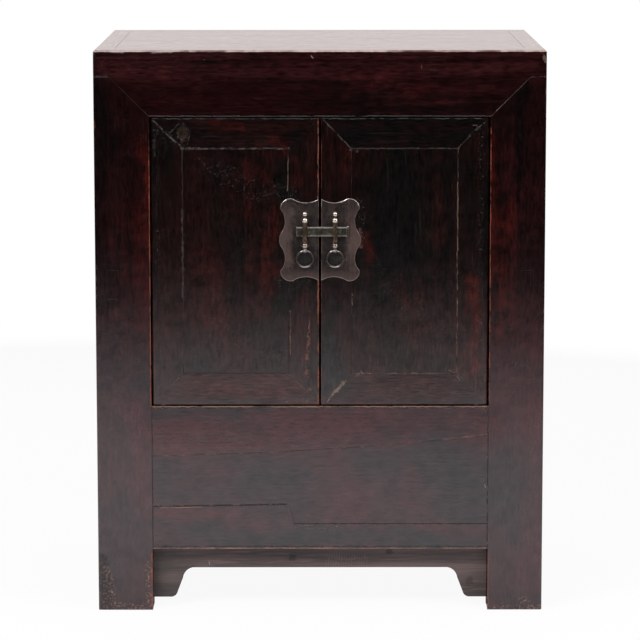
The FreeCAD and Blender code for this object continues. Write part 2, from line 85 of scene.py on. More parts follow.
def step(value, low, high):
    return value.node("ShaderNodeMapRange", {"interpolation_type": "SMOOTHSTEP"},
                      {"Value": value, "From Min": low, "From Max": high})


def split(vector):
    axes = vector.node("ShaderNodeSeparateXYZ", inputs={0: vector}).socket.node
    return [Wire(vector.tree, axes.outputs[name]) for name in ("X", "Y", "Z")]


def join(x, y, z):
    return x.node("ShaderNodeCombineXYZ", inputs={"X": x, "Y": y, "Z": z})


def vectors(operation, first, second):
    output = "Value" if operation in ("DOT_PRODUCT", "DISTANCE") else "Vector"
    return first.node("ShaderNodeVectorMath", {"operation": operation}, {0: first, 1: second}, output)


def noise(place, scale, detail=3.0, rough=0.55, output="Fac"):
    return place.node("ShaderNodeTexNoise", inputs={"Vector": place, "Scale": scale, "Detail": detail,
                                                    "Roughness": rough}, output=output)


def tint(share, first, second):
    return share.node("ShaderNodeMix", {"data_type": "RGBA"}, {"Factor": share, "A": first, "B": second})


def shade(base, level):
    # a colour made darker or brighter by a number
    return base.node("ShaderNodeMix", {"data_type": "RGBA", "blend_type": "MULTIPLY"},
                     {"Factor": 1.0, "A": base, "B": level})


def paint(red, green, blue):
    return (red, green, blue, 1.0)


def startMaterial(name):
    material = bpy.data.materials.new(name)
    material.use_nodes = True
    material.node_tree.nodes.clear()
    texture = material.node_tree.nodes.new("ShaderNodeTexCoord")
    return material, Wire(material.node_tree, texture.outputs["Object"])


def finishMaterial(place, sockets, height, depth):
    bump = place.node("ShaderNodeBump", inputs={"Strength": 1.0, "Distance": depth, "Height": height})
    shader = place.node("ShaderNodeBsdfPrincipled", inputs={**sockets, "Normal": bump})
    place.node("ShaderNodeOutputMaterial", inputs={"Surface": shader})


def grainOf(place, axis, stretch):
    # the coordinates drawn out along the grain
    return vectors("MULTIPLY", place, [stretch if i == axis else 1.0 for i in range(3)])


# the case as the frame gives it
caseLow = Vector((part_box("front_post_left")[0].x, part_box("front_post_left")[0].y, 0.0))
caseHigh = Vector((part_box("front_post_right")[1].x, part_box("rear_post_right")[1].y,
                   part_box("front_top_rail")[1].z))
frontFace = caseLow.y
panelLow = Vector((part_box("door_meeting_stile_right")[1].x, 0.0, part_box("door_bottom_rail_right")[1].z))
panelHigh = Vector((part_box("door_hinge_stile_right")[0].x, 0.0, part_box("door_top_rail_right")[0].z))


# wear: lines and areas run from a start to an end, given as x and z on the front
wearLook = {
    "ragged": (420.0, 4.0, 0.7), "raggedReach": 1.7,  # torn sides of a line
    "breakDetail": 5.0, "breakRough": 0.68,  # gaps along it
    "outer": 0.62, "inner": 0.36,  # shares of its width where it ends and where it is full
    "core": 0.10,  # share of a soft area's reach where it is full
}
frontSkin = (0.010, 0.006)  # depths behind the front face where its wear ends and is full
frontPlane = Vector((1.0, 0.0, 1.0))  # drops y, so that wear runs straight in


def frontShare(y):
    return step(y, *[frontFace + depth for depth in frontSkin])


def wander(place, pattern, reach):
    # the place pushed about by a noise and dropped onto the front
    push = vectors("SUBTRACT", noise(place, *pattern, "Color"), Vector((0.5, 0.5, 0.5)))
    moved = vectors("ADD", place, vectors("MULTIPLY", push, frontPlane * reach))
    return vectors("MULTIPLY", moved, frontPlane)


def strokeGap(flat, start, end):
    # how far a point lies from a line
    first = Vector((start[0], 0.0, start[1]))
    run = Vector((end[0], 0.0, end[1])) - first
    offset = vectors("SUBTRACT", flat, first)
    share = vectors("DOT_PRODUCT", offset, run / run.length_squared)
    share = share.node("ShaderNodeClamp", inputs={"Value": share})
    nearest = share.node("ShaderNodeVectorMath", {"operation": "SCALE"}, {0: run, "Scale": share})
    return vectors("DISTANCE", offset, nearest)


def tornLine(flat, ragged, start, end, width, strength):
    gap = strokeGap(flat, start, end) + ragged * width
    return step(gap, width * wearLook["outer"], width * wearLook["inner"]) * strength


def softArea(flat, start, end, reach, strength):
    return step(strokeGap(flat, start, end), reach, reach * wearLook["core"]) * strength


def softAreas(flat, areas):
    return reduce(larger, [softArea(flat, *area) for area in areas])


def wearLayer(place, flat, front, base, strokes):
    # lays each group of strokes over the base colour and gives back the worn share too
    ragged = (noise(place, *wearLook["ragged"]) - 0.5) * wearLook["raggedReach"]
    masks = []
    for group in strokes.values():
        breaks = noise(place, group["breakScale"], wearLook["breakDetail"], wearLook["breakRough"])
        lines = reduce(larger, [tornLine(flat, ragged, *line) for line in group["lines"]])
        masks.append(lines * step(breaks, *group["breaks"]) * front)
        base = tint(masks[-1], base, group["colour"])
    return base, reduce(larger, masks)


lacquerLook = {
    "case": {
        "black": paint(0.0026, 0.0014, 0.0015), "red": paint(0.0095, 0.0017, 0.0019),
        "glow": paint(0.0230, 0.0032, 0.0036), "lowGrey": paint(0.0120, 0.0100, 0.0105),
        "lowRed": paint(0.0440, 0.0100, 0.0120), "redness": (0.34, 0.62), "glowing": (0.54, 0.80),
        "lowness": (0.56, 0.29), "calm": 2.0, "rough": 0.15, "gloss": 0.64,
    },
    "door": {
        "black": paint(0.0027, 0.0021, 0.0020), "red": paint(0.0080, 0.0019, 0.0016),
        "glow": paint(0.0240, 0.0040, 0.0026), "lowGrey": paint(0.0150, 0.0140, 0.0135),
        "lowRed": paint(0.0380, 0.0118, 0.0108), "redness": (0.42, 0.70), "glowing": (0.62, 0.90),
        "lowness": (0.54, 0.34), "calm": 1.1, "rough": 0.16, "gloss": 0.66,
    },
}
bareWood = paint(0.26, 0.155, 0.105)
bareGrey = paint(0.056, 0.049, 0.046)
# pale colour painted as the highlight along the front edge of the top
paleEdgeHighlight = paint(0.60, 0.47, 0.42)
amber = paint(0.30, 0.150, 0.095)
rust = paint(0.120, 0.034, 0.022)
underCoat = paint(0.22, 0.050, 0.018)
emberRed = paint(0.070, 0.0062, 0.0030)
bloomRed = paint(0.058, 0.0125, 0.0135)
fadedTop = paint(0.105, 0.042, 0.036)
dullTop = paint(0.100, 0.030, 0.026)
fillerBrown = paint(0.060, 0.034, 0.016)
gapBlack = paint(0.0015, 0.0012, 0.0012)
# grey marks, two of them a highlight painted along the top edge
greyMarksAndHighlight = paint(0.30, 0.24, 0.22)
jointPink = paint(0.170, 0.075, 0.062)
rubRed = paint(0.160, 0.046, 0.027)

doorGap = {"side": 0.0016, "top": 0.0022}  # room between the doors and the case
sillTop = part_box("sill_rail")[1].z
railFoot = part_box("front_bottom_rail")[0].z
openHalf = -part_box("door_hinge_stile_left")[0].x + doorGap["side"]
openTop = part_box("door_top_rail_left")[1].z + doorGap["top"]

# soft areas on the front, where red shows through, black greys or gloss is gone
softTone = {  # start, end, reach and strength
    "case": {
        "ember": [
            ((-openHalf, 0.238), (-0.120, 0.246), 0.012, 0.30),
            ((-openHalf, 0.150), (-0.150, 0.150), 0.011, 0.35),
            ((0.134, 0.210), (0.142, 0.196), 0.016, 0.25), ((0.170, 0.122), (0.245, 0.118), 0.016, 0.20),
            ((-0.268, 0.600), (-0.266, 0.440), 0.030, 0.24), ((0.262, 0.590), (0.264, 0.430), 0.034, 0.42),
            ((0.254, 0.700), (0.254, 0.420), 0.010, 0.35), ((-0.256, 0.700), (-0.256, 0.420), 0.010, 0.35),
        ],
        "bloom": [
            ((-0.310, 0.814), (-0.120, 0.814), 0.040, 0.44), ((-0.120, 0.812), (0.300, 0.812), 0.040, 0.32),
            ((0.080, 0.760), (0.200, 0.760), 0.030, 0.12), ((-0.310, 0.560), (-0.308, 0.440), 0.020, 0.12),
        ],
        "matte": [((-0.240, 0.284), (0.240, 0.284), 0.050, 0.45)],
        "red": [
            ((-0.240, 0.262), (-0.010, 0.276), 0.046, 0.70), ((0.0, 0.280), (0.240, 0.278), 0.044, 0.40),
            ((0.020, 0.220), (0.050, 0.150), 0.050, 0.35), ((-0.130, 0.130), (-0.080, 0.126), 0.022, 0.35),
            ((-0.240, 0.148), (-0.120, 0.149), 0.018, 0.40), ((0.150, 0.124), (0.245, 0.118), 0.022, 0.40),
            ((-0.262, 0.300), (-0.260, 0.160), 0.030, 0.45), ((0.320, 0.300), (0.318, 0.040), 0.040, 0.35),
        ],
        "grey": [
            ((-0.246, 0.300), (-0.130, 0.302), 0.024, 0.35), ((-0.130, 0.305), (0.050, 0.305), 0.012, 0.40),
            ((-0.236, 0.222), (-0.190, 0.172), 0.056, 0.20), ((-0.120, 0.184), (-0.060, 0.170), 0.030, 0.10),
            ((0.070, 0.236), (0.150, 0.214), 0.050, 0.45), ((0.150, 0.232), (0.225, 0.190), 0.066, 0.50),
            ((0.200, 0.200), (0.200, 0.150), 0.060, 0.40), ((-0.200, 0.116), (-0.060, 0.108), 0.028, 0.45),
            ((-0.030, 0.114), (0.180, 0.104), 0.026, 0.50),
        ],
    },
    "door": {
        "ember": [
            ((-0.066, 0.600), (-0.076, 0.480), 0.024, 0.45), ((-0.080, 0.560), (-0.092, 0.450), 0.040, 0.26),
            ((-0.150, 0.722), (-0.115, 0.722), 0.014, 0.30), ((-0.064, 0.704), (-0.052, 0.690), 0.020, 0.30),
            ((-0.040, 0.670), (-0.038, 0.640), 0.012, 0.15), ((-0.092, 0.665), (-0.100, 0.600), 0.044, 0.20),
            ((0.070, 0.560), (0.074, 0.530), 0.014, 0.30), ((0.130, 0.480), (0.140, 0.400), 0.036, 0.16),
            ((0.226, 0.500), (0.229, 0.360), 0.014, 0.50), ((-0.170, 0.530), (-0.160, 0.440), 0.044, 0.16),
            ((-0.160, 0.330), (-0.070, 0.332), 0.018, 0.25), ((0.100, 0.330), (0.180, 0.328), 0.016, 0.15),
        ],
        "bloom": [
            ((-0.190, 0.714), (-0.060, 0.714), 0.030, 0.18), ((-0.022, 0.460), (-0.022, 0.340), 0.026, 0.40),
            ((-0.150, 0.440), (-0.080, 0.380), 0.070, 0.12),
        ],
        "matte": [
            ((0.060, 0.335), (0.230, 0.335), 0.040, 0.35), ((-0.200, 0.330), (-0.030, 0.330), 0.030, 0.20),
            ((0.140, 0.620), (0.140, 0.390), 0.140, 0.64),
        ],
        "red": [
            ((-0.180, 0.332), (-0.050, 0.332), 0.028, 0.25), ((0.060, 0.332), (0.180, 0.332), 0.026, 0.10),
        ],
        "grey": [
            ((-0.090, 0.470), (-0.086, 0.370), 0.040, 0.30), ((0.070, 0.400), (0.180, 0.380), 0.060, 0.30),
            ((0.022, 0.460), (0.022, 0.340), 0.030, 0.60),
        ],
    },
}
sillBow = {"left": 0.2340, "right": 0.2650, "sag": 0.0060}  # the bowed joint under the sill


def sillJoint(x):
    share = (x + openHalf) / (2 * openHalf)
    chord = sillBow["left"] + (sillBow["right"] - sillBow["left"]) * share
    return chord - sillBow["sag"] * 4 * share * (1 - share)


def alongSill(start, end, width, strength):
    return ((start, sillJoint(start)), (end, sillJoint(end)), width, strength)


caseAcrossWear = {
    "tan": {"colour": bareWood, "breakScale": 85.0, "breaks": (0.44, 0.58), "lines": [
        ((0.258, 0.7455), (0.310, 0.7945), 0.0012, 0.50), ((0.310, 0.7945), (0.329, 0.7945), 0.0011, 0.30),
        ((0.322, 0.8290), (0.3285, 0.8180), 0.0050, 0.35),
        ((0.148, 0.8170), (0.148, 0.8050), 0.0013, 0.30), ((0.150, 0.8050), (0.172, 0.8045), 0.0011, 0.22),
        alongSill(0.060, 0.063, 0.0024, 0.50), alongSill(0.150, 0.152, 0.0026, 0.40),
        alongSill(0.205, openHalf, 0.0030, 0.22), ((-0.0370, 0.1250), (0.0250, 0.1225), 0.0014, 0.25),
    ]},
    "marks": {"colour": greyMarksAndHighlight, "breakScale": 200.0, "breaks": (0.34, 0.52), "lines": [
        ((-0.1680, 0.8190), (-0.1620, 0.8150), 0.0014, 0.55),
        ((-0.0125, 0.8250), (-0.0100, 0.8215), 0.0016, 0.60),
        ((0.2440, 0.1885), (0.2452, 0.1865), 0.0022, 0.50),
        # these two are a pale highlight painted along the top edge
        ((-0.3020, 0.8299), (-0.2850, 0.8297), 0.0016, 0.50),
        ((-0.2450, 0.8297), (-0.2150, 0.8299), 0.0014, 0.45),
    ]},
    "pink": {"colour": jointPink, "breakScale": 34.0, "breaks": (0.36, 0.60), "lines": [
        alongSill(-openHalf, -0.150, 0.0018, 0.45), alongSill(-0.150, -0.070, 0.0018, 0.40),
        alongSill(-0.070, 0.010, 0.0016, 0.45), alongSill(0.010, 0.080, 0.0020, 0.40),
        alongSill(0.080, 0.160, 0.0022, 0.40), alongSill(0.160, openHalf, 0.0024, 0.45),
        ((-0.060, 0.1296), (0.030, 0.1270), 0.0010, 0.40),
        ((-0.0475, 0.1585), (-0.0415, 0.1320), 0.0022, 0.30),
    ]},
    "amber": {"colour": amber, "breakScale": 26.0, "breaks": (0.30, 0.56), "lines": [
        ((-openHalf, sillTop - 0.0004), (openHalf, sillTop - 0.0004), 0.0014, 0.85),
        ((-0.120, sillTop - 0.0005), (0.030, sillTop - 0.0005), 0.0018, 0.70),
        ((-openHalf, railFoot + 0.0005), (openHalf, railFoot + 0.0005), 0.0013, 0.80),
        ((-0.178, railFoot + 0.0007), (-0.118, railFoot + 0.0007), 0.0020, 0.9),
        ((-0.080, railFoot + 0.0007), (0.016, railFoot + 0.0007), 0.0018, 0.9),
        ((-openHalf + 0.012, 0.1553), (-0.175, 0.1566), 0.0013, 0.75),
    ]},
    "dark": {"colour": gapBlack, "breakScale": 60.0, "breaks": (0.40, 0.50), "lines": [
        ((-openHalf, railFoot + 0.0036), (openHalf, railFoot + 0.0032), 0.0020, 0.6),
        ((-openHalf, 0.1572), (-0.050, 0.1604), 0.0022, 0.85),
        ((-0.040, 0.1306), (openHalf, 0.1306), 0.0012, 0.7),
        ((-openHalf, sillTop - 0.0024), (openHalf, sillTop - 0.0022), 0.0018, 0.45),
        ((-openHalf + 0.0008, sillTop), (-openHalf + 0.0008, railFoot), 0.0016, 0.8),
        ((openHalf - 0.0008, sillTop), (openHalf - 0.0008, railFoot), 0.0016, 0.8),
        ((-0.329, 0.7945), (-0.310, 0.7945), 0.0018, 0.9), ((-0.310, 0.7945), (-0.281, 0.7665), 0.0018, 0.9),
        ((0.281, 0.7670), (0.300, 0.7850), 0.0018, 0.9),
    ]},
    "grey": {"colour": bareGrey, "breakScale": 90.0, "breaks": (0.36, 0.54), "lines": [
        ((-0.250, 0.7370), (-0.281, 0.7665), 0.0009, 0.6), ((0.300, 0.7845), (0.309, 0.7930), 0.0028, 0.7),
        ((-openHalf, openTop + 0.0006), (openHalf, openTop + 0.0006), 0.0009, 0.85),
    ]},
}
caseUprightWear = {
    "orange": {"colour": underCoat, "breakScale": 40.0, "breaks": (0.38, 0.56), "lines": [
        ((-openHalf - 0.0006, sillTop), (-openHalf - 0.0006, 0.700), 0.0013, 0.85),
        ((openHalf + 0.0006, sillTop), (openHalf + 0.0006, 0.720), 0.0013, 0.75),
        ((-0.2502, 0.085), (-0.2502, 0.004), 0.0030, 0.7), ((0.2500, 0.085), (0.2500, 0.004), 0.0018, 0.5),
    ]},
    "scuffs": {"colour": bareWood, "breakScale": 260.0, "breaks": (0.51, 0.61), "lines": [
        ((-0.324, 0.060), (-0.312, 0.004), 0.0240, 0.75), ((-0.322, 0.004), (-0.258, 0.004), 0.0120, 0.65),
        ((0.300, 0.016), (0.314, 0.003), 0.0120, 0.65), ((0.256, 0.003), (0.326, 0.003), 0.0090, 0.50),
        ((-0.257, 0.070), (-0.255, 0.010), 0.0090, 0.60),
    ]},
    "dark": {"colour": gapBlack, "breakScale": 150.0, "breaks": (0.36, 0.50), "lines": [
        ((-0.268, 0.3758), (-0.268, 0.3752), 0.0048, 1.0), ((0.286, 0.3700), (0.286, 0.3694), 0.0048, 1.0),
        ((0.2995, 0.3715), (0.2995, 0.3710), 0.0040, 1.0), ((-0.326, 0.075), (-0.318, 0.010), 0.0200, 0.5),
    ]},
}
caseDeepWear = {
    "tan": {"colour": bareWood, "breakScale": 60.0, "breaks": (0.5, 0.66), "lines": [
        ((-0.33, 0.830), (0.33, 0.830), 0.0030, 0.3),
    ]},
}
doorWear = {
    "filler": {"colour": fillerBrown, "breakScale": 130.0, "breaks": (0.20, 0.75), "lines": [
        ((-0.2005, 0.7150), (-0.1995, 0.7080), 0.0130, 0.42),
        ((-0.0158, 0.3312), (-0.0152, 0.3306), 0.0070, 0.6),
    ]},
    "grey": {"colour": bareGrey, "breakScale": 110.0, "breaks": (0.40, 0.64), "lines": [
        ((-0.243, 0.7305), (-0.222, 0.7110), 0.0016, 0.60),
        ((-0.230, 0.7180), (-0.203, 0.6920), 0.0026, 0.75),
        ((-panelHigh.x, panelHigh.z), (-0.176, panelHigh.z), 0.0036, 0.85),
        ((-0.190, panelHigh.z), (-panelLow.x, panelHigh.z), 0.0018, 0.90),
        ((0.005, 0.7315), (0.045, 0.6905), 0.0014, 0.60), ((0.046, 0.6885), (0.053, 0.6870), 0.0048, 0.65),
        ((panelLow.x, panelHigh.z), (panelHigh.x, panelHigh.z), 0.0012, 0.80),
        ((panelHigh.x, panelHigh.z), (0.224, 0.7150), 0.0012, 0.55),
        ((0.224, 0.7150), (0.244, 0.7305), 0.0010, 0.4),
        ((panelHigh.x, panelHigh.z), (panelHigh.x, 0.640), 0.0012, 0.70),
        ((panelHigh.x, panelLow.z), (0.244, 0.3140), 0.0011, 0.6),
        ((-panelHigh.x, panelLow.z), (-0.244, 0.3140), 0.0010, 0.5),
        ((-panelLow.x, panelLow.z), (-0.004, 0.3140), 0.0010, 0.5),
        ((-panelHigh.x, panelHigh.z), (-panelHigh.x, 0.665), 0.0016, 0.35),
        ((-panelHigh.x, 0.600), (-panelHigh.x, 0.470), 0.0030, 0.45),
        ((0.223, 0.7235), (0.229, 0.7235), 0.0011, 0.7), ((0.229, 0.7235), (0.2305, 0.7175), 0.0011, 0.7),
        ((0.2305, 0.7175), (0.2255, 0.7150), 0.0011, 0.7),
        ((-0.243, 0.7334), (-0.004, 0.7334), 0.0008, 0.8), ((0.004, 0.7334), (0.243, 0.7334), 0.0008, 0.7),
        ((-0.205, 0.7270), (-0.2180, 0.7130), 0.0010, 0.40),
        ((-0.200, 0.7270), (-0.1890, 0.7130), 0.0010, 0.45),
        ((-0.1890, 0.7130), (-0.1935, 0.6950), 0.0010, 0.45),
        ((-0.242, 0.7100), (-0.242, 0.6800), 0.0030, 0.35),
    ]},
    "specks": {"colour": bareGrey, "breakScale": 520.0, "breaks": (0.60, 0.70), "lines": [
        ((-0.165, 0.6650), (-0.085, 0.6250), 0.0280, 0.50),
        ((-0.238, 0.7150), (-0.238, 0.3300), 0.0080, 0.30),
        ((0.235, 0.7150), (0.235, 0.3300), 0.0090, 0.35), ((0.090, 0.5000), (0.170, 0.4200), 0.0400, 0.25),
        ((-0.235, 0.7150), (-0.200, 0.6900), 0.0160, 0.50),
        ((-0.150, 0.4200), (-0.070, 0.3800), 0.0400, 0.30),
        ((-0.062, 0.6300), (-0.038, 0.6200), 0.0200, 0.55), ((0.056, 0.6100), (0.060, 0.5600), 0.0160, 0.55),
        ((-0.060, 0.4920), (-0.010, 0.4900), 0.0160, 0.45),
    ]},
    "tan": {"colour": bareWood, "breakScale": 70.0, "breaks": (0.36, 0.58), "lines": [
        ((panelHigh.x, 0.640), (panelHigh.x, panelLow.z), 0.0013, 0.62),
        ((panelLow.x, panelLow.z), (panelHigh.x, panelLow.z), 0.0012, 0.36),
        ((0.0112, 0.3142), (0.0160, 0.3235), 0.0016, 0.50),
        ((0.0160, 0.3235), (0.0360, 0.3445), 0.0050, 0.55),
        ((0.052, 0.3520), (0.062, 0.3600), 0.0014, 0.3), ((0.190, 0.3620), (0.206, 0.3480), 0.0016, 0.35),
        ((-0.0462, 0.6770), (-0.0474, 0.6280), 0.0014, 0.35),
        ((-panelHigh.x, 0.665), (-panelHigh.x, panelLow.z), 0.0009, 0.22),
    ]},
    "orange": {"colour": underCoat, "breakScale": 30.0, "breaks": (0.44, 0.62), "lines": [
        ((-0.0024, 0.312), (-0.0024, 0.733), 0.0018, 0.90), ((0.0022, 0.312), (0.0022, 0.733), 0.0010, 0.30),
        ((0.2436, 0.3650), (0.2436, 0.3450), 0.0024, 0.40),
        ((-0.0480, 0.6600), (-0.0482, 0.6480), 0.0020, 0.60),
    ]},
    "rubs": {"colour": rubRed, "breakScale": 150.0, "breaks": (0.38, 0.60), "lines": [
        ((-0.0165, 0.4260), (-0.0190, 0.3800), 0.0030, 0.60),
        ((-0.0195, 0.3850), (-0.0190, 0.3520), 0.0045, 0.60),
        ((-0.0158, 0.4500), (-0.0150, 0.4000), 0.0016, 0.50),
        ((-0.0437, 0.4500), (-0.0438, 0.3780), 0.0020, 0.60),
        ((-0.0180, 0.3340), (-0.0150, 0.3320), 0.0048, 0.50),
        ((0.0475, 0.4745), (0.0475, 0.4600), 0.0018, 0.60),
        ((-0.0026, 0.7200), (-0.0026, 0.6140), 0.0014, 0.90),
        ((0.0590, 0.5700), (0.0600, 0.5450), 0.0050, 0.45),
        ((-0.0500, 0.3150), (-0.0150, 0.3160), 0.0022, 0.45),
    ]},
    "dark": {"colour": gapBlack, "breakScale": 40.0, "breaks": (0.20, 0.40), "lines": [
        ((-panelHigh.x, panelLow.z), (-panelLow.x, panelLow.z), 0.0014, 0.8),
    ]},
}


# patterns in the lacquer: stretch along the grain, scale, detail and roughness
lacquerGrain = {
    "streaks": (0.045, 95.0, 5.0, 0.65), "fibres": (0.22, 290.0, 3.0, 0.62), "mottle": (1.0, 42.0, 5.0, 0.6),
    "patches": (0.30, 8.0, 4.0, 0.6), "embers": (0.30, 13.0, 4.0, 0.6), "cloud": (0.60, 11.0, 3.0, 0.55),
    "hair": (0.035, 420.0, 2.0, 0.5), "dust": (1.0, 520.0, 3.0, 0.6), "swell": (1.0, 14.0, 2.0, 0.5),
}
# how far the finer patterns stir each layer, and their weights in ember, roughness and height
lacquerStir = {
    "red": {"streaks": 0.28, "mottle": 0.30}, "glow": {"streaks": 0.30, "mottle": 0.25},
    "cloud": {"fibres": 0.12, "mottle": 0.40, "streaks": 0.20},
    "faded": {"streaks": 0.5}, "dull": {"mottle": 0.06},
}
lacquerWeight = {
    "ember": {"mottle": 0.5, "streaks": 0.5}, "rough": {"mottle": 0.12, "streaks": 0.08},
    "height": {"streaks": 0.30, "fibres": 0.24, "mottle": 0.40, "swell": 1.2},
}
lacquerFine = {
    "warp": ((22.0, 4.0, 0.6), 0.050), "toneReach": 0.50, "rubbing": (0.14, 0.92), "roughMean": 0.09,
    "blackStreaks": (0.56, 0.30), "blackShare": 0.40,
    "emberBreaks": (0.30, 0.66), "bloomBreaks": (0.28, 0.68),
    "hair": (0.62, 0.74), "hairShare": 0.08, "dust": (0.62, 0.76), "dustShare": 0.16,
    "contrast": 3.2, "mottleContrast": 0.8, "darkest": 0.25,
    "fibreGloss": 0.70, "mottleGloss": 0.60, "streakGloss": 0.30,
}
topLook = {
    "skin": (0.0020, 0.0004), "fading": (0.34, 0.66), "fadeMore": 0.30, "fadeLeast": 0.58,
    "dullReach": (0.040, 0.004), "dullShare": 0.6, "calm": 2.6, "rough": 0.06,
    "fibreGloss": 1.1, "streakGloss": 1.0, "coatLoss": 0.50,
}
lacquerBody = {"IOR": 1.5, "Coat Roughness": 0.09, "Coat IOR": 1.5}
lacquerDepth = 0.0005


def grainNoise(place, axis, pattern):
    stretch, *shape = pattern
    return noise(grainOf(place, axis, stretch), *shape)


def stirred(start, grain, amounts):
    for name, amount in amounts.items():
        start = start + (grain[name] - 0.5) * amount
    return start


def weighed(grain, weights):
    return reduce(add, [grain[name] * weight for name, weight in weights.items()])


def lacquerSurface(place, look, tone, axis):
    # black over red, rubbed to red and grey low down, faded on the top: colour, coat, roughness and height
    fine = lacquerFine
    y, z = split(place)[1:]
    grain = {name: grainNoise(place, axis, pattern) for name, pattern in lacquerGrain.items()}
    redShare = step(stirred(grain["patches"], grain, lacquerStir["red"]), *look["redness"])
    glow = step(stirred(grain["embers"], grain, lacquerStir["glow"]), *look["glowing"])
    base = tint(redShare, look["black"], look["red"])
    base = tint(glow, base, look["glow"])
    base = tint(step(grain["streaks"], *fine["blackStreaks"]) * fine["blackShare"], base, look["black"])
    cloud = stirred(grain["cloud"], grain, lacquerStir["cloud"])
    if tone:
        flat, front = wander(place, *fine["warp"]), frontShare(y)
        areas = {name: softAreas(flat, places) * front for name, places in tone.items()}
        cloud = cloud + (areas["red"] - areas["grey"]) * fine["toneReach"]
    low = step(z, *look["lowness"])
    base = tint(low, base, tint(step(cloud, *fine["rubbing"]), look["lowGrey"], look["lowRed"]))
    if tone:
        ember = step(weighed(grain, lacquerWeight["ember"]), *fine["emberBreaks"])
        base = tint(areas["ember"] * ember, base, emberRed)
        base = tint(areas["bloom"] * step(grain["streaks"], *fine["bloomBreaks"]), base, bloomRed)
    # fine scratches along the grain and specks of dust
    hair = step(grain["hair"], *fine["hair"]) * fine["hairShare"]
    dust = step(grain["dust"], *fine["dust"]) * fine["dustShare"]
    base = tint(larger(hair, dust), base, bareGrey)
    # the faded top, dullest along its front
    up = step(z, *[caseHigh.z - depth for depth in topLook["skin"]])
    fading = step(stirred(grain["patches"], grain, lacquerStir["faded"]), *topLook["fading"])
    base = tint(up * (fading * topLook["fadeMore"] + topLook["fadeLeast"]), base, fadedTop)
    dull = stirred(y, grain, lacquerStir["dull"])
    dull = step(dull, *[frontFace + reach for reach in topLook["dullReach"]])
    base = tint(up * dull * topLook["dullShare"], base, dullTop)
    contrast = {"fibres": fine["contrast"] - low * look["calm"] - up * topLook["calm"],
                "mottle": fine["mottleContrast"]}
    base = shade(base, larger(stirred(1.0, grain, contrast), fine["darkest"]))
    sheen = {"fibres": up * topLook["fibreGloss"] + fine["fibreGloss"], "mottle": fine["mottleGloss"],
             "streaks": up * topLook["streakGloss"] + fine["streakGloss"]}
    coat = stirred(look["gloss"], grain, sheen) * (1.0 - up * topLook["coatLoss"])
    if tone:
        coat = coat * (1.0 - areas["matte"])
    rough = weighed(grain, lacquerWeight["rough"]) + (look["rough"] - fine["roughMean"])
    return base, coat, rough + up * topLook["rough"], weighed(grain, lacquerWeight["height"])


edgeLook = {
    "wobble": ((120.0, 4.0, 0.65), 0.0036), "chips": (85.0, 5.0, 0.7),  # shaken strokes, chipped edges
    "bare": (42.0, 5.0, 0.6), "bareBreaks": (0.42, 0.58),
    "rubChips": 0.010, "rubReach": (0.0016, 0.0002), "rub": (13.0, 3.0, 0.6), "rubBreaks": (0.44, 0.60),
    "rubShare": 0.40, "rubWorn": 0.5,
    "topChips": 0.003, "topReach": (0.0030, 0.0014), "topTone": (16.0, 4.0, 0.65), "topTones": (0.36, 0.52),
    "topBreaks": (0.30, 0.60), "topMore": 0.50, "topLeast": 0.35, "topWorn": 0.8,
    "bevel": (60.0, 4.0, 0.65), "bevelBreaks": (0.50, 0.66), "bevelShare": 0.22, "bevelMore": 0.3,
    "bevelLeast": 0.55,
    "wornRough": 0.35, "wornCoat": 0.85, "wornDepth": 0.7,
}


def makeLacquer(name, look, tone, axis, strokes, onBevel):
    worn = edgeLook
    material, place = startMaterial(name)
    x, y, z = split(place)
    base, coat, rough, height = lacquerSurface(place, look, None if onBevel else tone, axis)
    base, bare = wearLayer(place, wander(place, *worn["wobble"]), frontShare(y), base, strokes)
    # rubbed outer edges of the case, most along the front of the top, where rusty wear alternates with a pale
    # painted highlight
    sides = caseHigh.x - size(x)
    faces = smaller(y - caseLow.y, caseHigh.y - y)
    top = caseHigh.z - z
    edgeGap = larger(smaller(sides, faces), smaller(larger(sides, faces), top))
    chips = noise(place, *worn["chips"]) - 0.5
    bareShade = tint(step(noise(place, *worn["bare"]), *worn["bareBreaks"]), underCoat, bareWood)
    rubbed = step(edgeGap + chips * worn["rubChips"], *worn["rubReach"])
    rubbed = rubbed * step(noise(place, *worn["rub"]), *worn["rubBreaks"])
    base = tint(rubbed * worn["rubShare"], base, bareShade)
    # the front edge of the top: rust where worn, and a pale line painted as the highlight of its rounded edge
    topEdge = step(larger(top, y - caseLow.y) + chips * worn["topChips"], *worn["topReach"])
    edgeTone = noise(place, *worn["topTone"])
    rustAndPaintedHighlight = tint(step(edgeTone, *worn["topTones"]), rust, paleEdgeHighlight)
    edgeShare = step(edgeTone, *worn["topBreaks"]) * worn["topMore"] + worn["topLeast"]
    base = tint(topEdge * edgeShare, base, rustAndPaintedHighlight)
    bare = larger(larger(bare, rubbed * worn["rubWorn"]), topEdge * worn["topWorn"])
    if onBevel:
        broken = step(noise(place, *worn["bevel"]), *worn["bevelBreaks"])
        base = tint(broken * worn["bevelShare"], base, bareShade)
        bare = larger(bare, broken * worn["bevelMore"] + worn["bevelLeast"])
    finishMaterial(place, {
        **lacquerBody, "Base Color": base, "Roughness": bare * worn["wornRough"] + rough,
        "Coat Weight": coat * (1.0 - bare * worn["wornCoat"]),
    }, height - bare * worn["wornDepth"], lacquerDepth)
    return material


sawCuts = {"count": 17, "first": 0.008, "pitch": 0.0038, "lean": 0.002, "low": 0.0610, "high": 0.0790}


def sawCut(i):
    foot = sawCuts["first"] + sawCuts["pitch"] * i
    return ((foot, sawCuts["low"]), (foot + sawCuts["lean"], sawCuts["high"]), 0.0011, 0.40)


